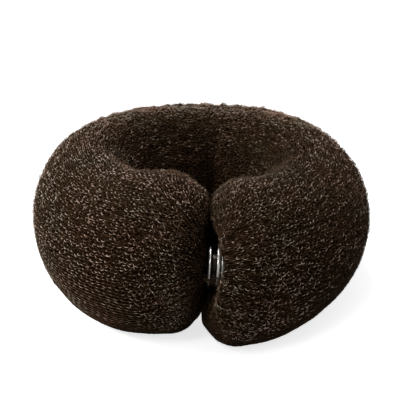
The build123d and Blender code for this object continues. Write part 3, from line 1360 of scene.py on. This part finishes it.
def fibre_group() -> bpy.types.NodeTree:
    """The uneven colour of spun nylon, used on the yarn and on the padding under it.

    Returns:
        A node group that gives a tint and a patch from 0 to 1, and a height.
    """
    starts = {"Fine size": 700, "Patch size": 90, "Patches": 0.35}
    graph, given, result = new_group("fibre", starts, "Tint", "Height", "Patch")
    place = graph.add("TexCoord").outputs["Object"]
    fine = graph.add("TexNoise", {"Vector": place, "Scale": given["Fine size"], "Detail": 2.0})
    patch = graph.add("TexNoise", {"Vector": place, "Scale": given["Patch size"], "Detail": 3.0})
    fine, patch = fine.outputs[0], patch.outputs[0]
    tint = graph.add("Mix", {0: given["Patches"], 2: fine, 3: patch}, data_type="FLOAT")
    hue = graph.add("MapRange", {"Value": patch, "From Min": 0.38, "From Max": 0.62})
    given = {"Tint": tint.outputs[0], "Height": fine, "Patch": hue.outputs["Result"]}
    graph.feed(result, given)
    return graph.tree


def web_group() -> bpy.types.NodeTree:
    """A layer of thin strands that cross at random, as wound net looks from above.

    Returns:
        A node group that gives 1 on a strand and 0 between strands.
    """
    bend_size, bend = 900.0, (1.1 * MM, 1.1 * MM, 1.1 * MM)
    graph, given, result = new_group("web", {"Cells": 800, "Width": 0.10}, "Strand")
    place = graph.add("TexCoord").outputs["Object"]
    push = graph.add("TexNoise", {"Vector": place, "Scale": bend_size, "Detail": 1.0}).outputs[1]
    bent = graph.add("VectorMath", operation="MULTIPLY_ADD")
    graph.feed(bent, {0: push, 1: bend, 2: place})
    cells = graph.add("TexVoronoi", feature="DISTANCE_TO_EDGE")
    graph.feed(cells, {"Vector": bent.outputs[0], "Scale": given["Cells"]})
    edge = {"From Min": 0.0, "From Max": given["Width"], "To Min": 1.0, "To Max": 0.0}
    strand = graph.add("MapRange", {"Value": cells.outputs["Distance"], **edge})
    graph.feed(result, {"Strand": strand.outputs["Result"]})
    return graph.tree


def new_material(name: str) -> tuple[bpy.types.Material, Graph, bpy.types.Node]:
    """An empty node material.

    Args:
        name: What the finish is called.

    Returns:
        The material, its graph and its shader.
    """
    material = bpy.data.materials.new(name)
    material.use_nodes = True
    return material, Graph(material.node_tree), material.node_tree.nodes["Principled BSDF"]


@dataclass(frozen=True)
class NylonYarn:
    """Dark brown nylon, slightly glossy, a little lighter and darker from strand to strand, with
    painted highlights and painted shade from each vertex's shine mark.
    """

    name: str = "nylon_yarn"
    # the yarn's colours as the shine mark rises: dark is its own colour deepened by painted shade,
    # light is a painted highlight
    dark: tuple[float, float, float] = (0.013, 0.0062, 0.0016)
    middle: tuple[float, float, float] = (0.118, 0.067, 0.037)
    light: tuple[float, float, float] = (0.97, 0.80, 0.70)
    middle_at: float = 0.4  # of the way from dark to light
    cooler: tuple[float, float, float] = (0.87, 0.98, 0.92)  # the tint of one patch and another
    warmer: tuple[float, float, float] = (1.0, 0.87, 0.83)
    tint_share: float = 0.9
    tint_least: float = 0.55
    fine_size: float = 900.0
    bump: float = 0.3
    bump_height: float = 0.05 * MM
    roughness: float = 0.35
    specular: float = 0.18
    specular_tint: tuple[float, float, float] = (1.0, 0.86, 0.72)

    def build(self, fibre: bpy.types.NodeTree) -> bpy.types.Material:
        """Makes the material.

        Args:
            fibre: The shared group for uneven nylon.

        Returns:
            The material.
        """
        material, graph, shader = new_material(self.name)
        uneven = graph.add("Group", node_tree=fibre)
        graph.feed(uneven, {"Fine size": self.fine_size})
        uneven = uneven.outputs
        # the painted highlights and shade kept on each vertex
        shine = graph.add("Attribute", attribute_name="shine").outputs["Fac"]
        tint = {0: uneven["Tint"], 1: self.tint_share, 2: self.tint_least}
        tint = graph.add("Math", tint, operation="MULTIPLY_ADD").outputs[0]
        light = graph.add("Math", {0: tint, 1: shine}, operation="MULTIPLY").outputs[0]
        shades = graph.add("ValToRGB", {"Fac": light})
        shades.color_ramp.elements[0].color = (*self.dark, 1)
        shades.color_ramp.elements[1].color = (*self.light, 1)
        shades.color_ramp.elements.new(self.middle_at).color = (*self.middle, 1)
        hue = graph.blend(uneven["Patch"], (*self.cooler, 1), (*self.warmer, 1))
        color = graph.blend(1.0, shades.outputs["Color"], hue, "MULTIPLY")
        bump = {"Strength": self.bump, "Distance": self.bump_height, "Height": uneven["Height"]}
        finish = {
            "Base Color": color,
            "Normal": graph.add("Bump", bump).outputs["Normal"],
            "Roughness": self.roughness,
            "Specular IOR Level": self.specular,
            "Specular Tint": (*self.specular_tint, 1),
        }
        graph.feed(shader, finish)
        return material


@dataclass(frozen=True)
class WoundLayers:
    """The layers of net under the outer one: brown strands over painted shade, two layers deep,
    darkened further by the painted shade mark on each vertex.
    """

    name: str = "wound_layers"
    # deep is painted shade in the depths between the strands
    deep: tuple[float, float, float] = (0.0015, 0.0008, 0.0002)
    lower: tuple[float, float, float] = (0.030, 0.016, 0.007)
    upper: tuple[float, float, float] = (0.050, 0.026, 0.012)
    lower_cells: float = 1900.0
    upper_cells: float = 800.0
    fine_size: float = 1300.0
    uneven: float = 0.7
    bump: float = 0.6
    bump_height: float = 0.12 * MM
    roughness: float = 0.9
    sheen: float = 0.08
    sheen_roughness: float = 0.35
    sheen_tint: tuple[float, float, float] = (0.55, 0.36, 0.25)

    def build(self, fibre: bpy.types.NodeTree, web: bpy.types.NodeTree) -> bpy.types.Material:
        """Makes the material.

        Args:
            fibre: The shared group for uneven nylon.
            web: The group for a layer of crossing strands.

        Returns:
            The material.
        """
        material, graph, shader = new_material(self.name)
        tint = graph.add("Group", {"Fine size": self.fine_size}, node_tree=fibre).outputs["Tint"]
        # the painted shade kept on each vertex, darkest in the seam and the hole
        shade = graph.add("Attribute", attribute_name="shade").outputs["Fac"]
        color = (*self.deep, 1)
        for cells, layer in ((self.lower_cells, self.lower), (self.upper_cells, self.upper)):
            strand = graph.add("Group", {"Cells": cells}, node_tree=web).outputs["Strand"]
            color = graph.blend(strand, color, (*layer, 1))
        color = graph.blend(self.uneven, color, tint, "MULTIPLY")
        bump = {"Strength": self.bump, "Distance": self.bump_height, "Height": strand}
        finish = {
            "Base Color": graph.blend(1.0, color, shade, "MULTIPLY"),
            "Normal": graph.add("Bump", bump).outputs["Normal"],
            "Roughness": self.roughness,
            "Specular IOR Level": 0.0,
            "Sheen Weight": self.sheen,
            "Sheen Roughness": self.sheen_roughness,
            "Sheen Tint": (*self.sheen_tint, 1),
        }
        graph.feed(shader, finish)
        return material


@dataclass(frozen=True)
class NickelPlate:
    """Bright plated metal with fine, faint scratches, and painted shade near its axis where it lies
    deep in the seam.
    """

    name: str = "nickel_plate"
    bright: tuple[float, float, float] = (0.72, 0.70, 0.66)
    # painted shade, which stands in for the dark recess between the snap's halves
    deep_shade: tuple[float, float, float] = (0.02, 0.017, 0.014)
    smooth: float = 0.18  # roughness along a scratch and beside it
    scratched: float = 0.36
    scratch_size: float = 900.0
    scratch_stretch: tuple[float, float, float] = (6.0, 1.0, 1.0)
    # where the painted shade gives way to bright metal, out from the axis and towards the near side
    shade_radius: float = 5.5 * MM
    bright_radius: float = 6.3 * MM
    near_side: tuple[float, float, float] = (0, -0.90, 0.44)  # forward, and a little up
    shade_depth: float = 3.6 * MM  # that way from the snap's middle
    bright_depth: float = 5.1 * MM

    def build(self) -> bpy.types.Material:
        """Makes the material.

        Returns:
            The material.
        """
        material, graph, shader = new_material(self.name)
        place = graph.add("TexCoord").outputs["Object"]
        stretch = graph.add("Mapping", {"Vector": place, "Scale": self.scratch_stretch})
        scratch = {"Vector": stretch.outputs["Vector"], "Scale": self.scratch_size, "Detail": 4.0}
        levels = {"Value": graph.add("TexNoise", scratch).outputs[0]}
        levels |= {"To Min": self.smooth, "To Max": self.scratched}
        offset = graph.add("VectorMath", operation="SUBTRACT")
        graph.feed(offset, {0: place, 1: SNAP_MIDDLE})
        across = graph.add("VectorMath", operation="MULTIPLY")
        graph.feed(across, {0: offset.outputs[0], 1: (0, 1, 1)})
        reach = graph.add("VectorMath", {0: across.outputs[0]}, operation="LENGTH")
        forward = graph.add("VectorMath", operation="DOT_PRODUCT")
        graph.feed(forward, {0: offset.outputs[0], 1: self.near_side})
        open_side = {"Value": forward.outputs["Value"], "From Min": self.shade_depth}
        open_side |= {"From Max": self.bright_depth}
        open_side = graph.add("MapRange", open_side, interpolation_type="SMOOTHSTEP")
        # painted shade near the axis and deep in the seam
        unshaded = {"Value": reach.outputs["Value"], "From Min": self.shade_radius}
        unshaded |= {"From Max": self.bright_radius, "To Max": open_side.outputs["Result"]}
        unshaded = graph.add("MapRange", unshaded, interpolation_type="SMOOTHSTEP").outputs["Result"]
        finish = {
            "Base Color": graph.blend(unshaded, (*self.deep_shade, 1), (*self.bright, 1)),
            "Roughness": graph.add("MapRange", levels).outputs["Result"],
            "Metallic": 1.0,
        }
        graph.feed(shader, finish)
        return material


@dataclass
class Studio:
    """A pale floor, soft light from above and the front, and the photograph's camera."""

    aim: tuple[float, float, float] = (1.88 * MM, 3.05 * MM, 22.56 * MM)
    stand: tuple[float, float, float] = (0.454 * MM, -311.1 * MM, 176.9 * MM)
    lens: float = 106.44  # millimetres, as the sensor is
    sensor: float = 36.0
    sky: float = 0.50
    floor_side: float = 6.0
    floor_tone: float = 0.20  # as it lights the ring
    floor_seen: float = 0.80  # and as the camera sees it
    floor_glow: float = 0.72
    lights: tuple[tuple[str, tuple[float, float, float], float, float], ...] = (
        ("overhead", (-0.18, 0.12, 0.83), 0.30, 6.3),
        ("left", (-0.75, 0.0, 0.50), 0.25, 5.5),
        ("front", (-0.35, -0.60, 0.70), 0.25, 2.2),
    )  # name, place, side and watts

    def build(self) -> None:
        """Makes the floor, the lights and the camera."""
        self._floor()
        self._sky()
        for light in self.lights:
            self._light(*light)
        camera = bpy.data.objects.new("camera", bpy.data.cameras.new("camera"))
        bpy.context.scene.collection.objects.link(camera)
        camera.location = self.stand
        camera.rotation_euler = self._facing(self.stand, self.aim)
        camera.data.lens = self.lens
        camera.data.sensor_width = self.sensor
        camera.data.clip_start, camera.data.clip_end = 0.01, 20.0
        bpy.context.scene.camera = camera
        bpy.context.scene.view_settings.view_transform = "Standard"

    def _facing(
        self, here: tuple[float, float, float], there: tuple[float, float, float]
    ) -> object:
        """The turn of an object that looks from one place to another."""
        return (Vector(there) - Vector(here)).to_track_quat("-Z", "Y").to_euler()

    def _light(
        self, name: str, place: tuple[float, float, float], size: float, power: float
    ) -> None:
        """A square soft light that faces the ring.

        Args:
            name: What it is called.
            place: Where it hangs.
            size: Its side.
            power: Watts.
        """
        data = bpy.data.lights.new(name, "AREA")
        data.shape, data.size, data.energy = "SQUARE", size, power
        light = bpy.data.objects.new(name, data)
        light.location = place
        light.rotation_euler = self._facing(place, (0, 0, 0.02))
        bpy.context.scene.collection.objects.link(light)

    def _floor(self) -> None:
        """A wide pale floor."""
        half = self.floor_side / 2
        points = half * np.array([[-1, -1, 0], [1, -1, 0], [1, 1, 0], [-1, 1, 0]], float)
        floor = make_mesh("floor", points, np.arange(4), np.array([4]))
        material, graph, shader = new_material("pale_floor")
        ray = graph.add("LightPath").outputs["Is Camera Ray"]
        tone, seen = ((t, t, t, 1) for t in (self.floor_tone, self.floor_seen))
        finish = {
            "Base Color": graph.blend(ray, tone, seen),
            "Emission Color": graph.blend(ray, (0, 0, 0, 1), (1, 1, 1, 1)),
            "Emission Strength": self.floor_glow,
            "Roughness": 0.8,
            "Specular IOR Level": 0.1,
        }
        graph.feed(shader, finish)
        floor.data.materials.append(material)

    def _sky(self) -> None:
        """An even white surround."""
        world = bpy.data.worlds.new("studio")
        world.use_nodes = True
        world.node_tree.nodes["Background"].inputs["Strength"].default_value = self.sky
        world.node_tree.nodes["Background"].inputs["Color"].default_value = (1, 1, 1, 1)
        bpy.context.scene.world = world


def main() -> None:
    """Builds the net, the padding, the snap and the studio."""
    logging.basicConfig(level=logging.INFO, format="%(message)s")
    fibre = fibre_group()
    yarn = NylonYarn().build(fibre)
    under = WoundLayers().build(fibre, web_group())
    metal = NickelPlate().build()
    surface = RollSurface(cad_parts["padded_roll"])
    log.info("surface measured: %d by %d", surface.rows, surface.columns)
    tone = Tone()
    Padding(surface, tone, under).build()
    Net(surface, tone, yarn).build()
    SnapHalf("snap_left", "snap_stud", metal, STUD).build()
    SnapHalf("snap_right", "snap_socket", metal, SOCKET).build()
    Studio().build()


if __name__ == "__main__":
    main()
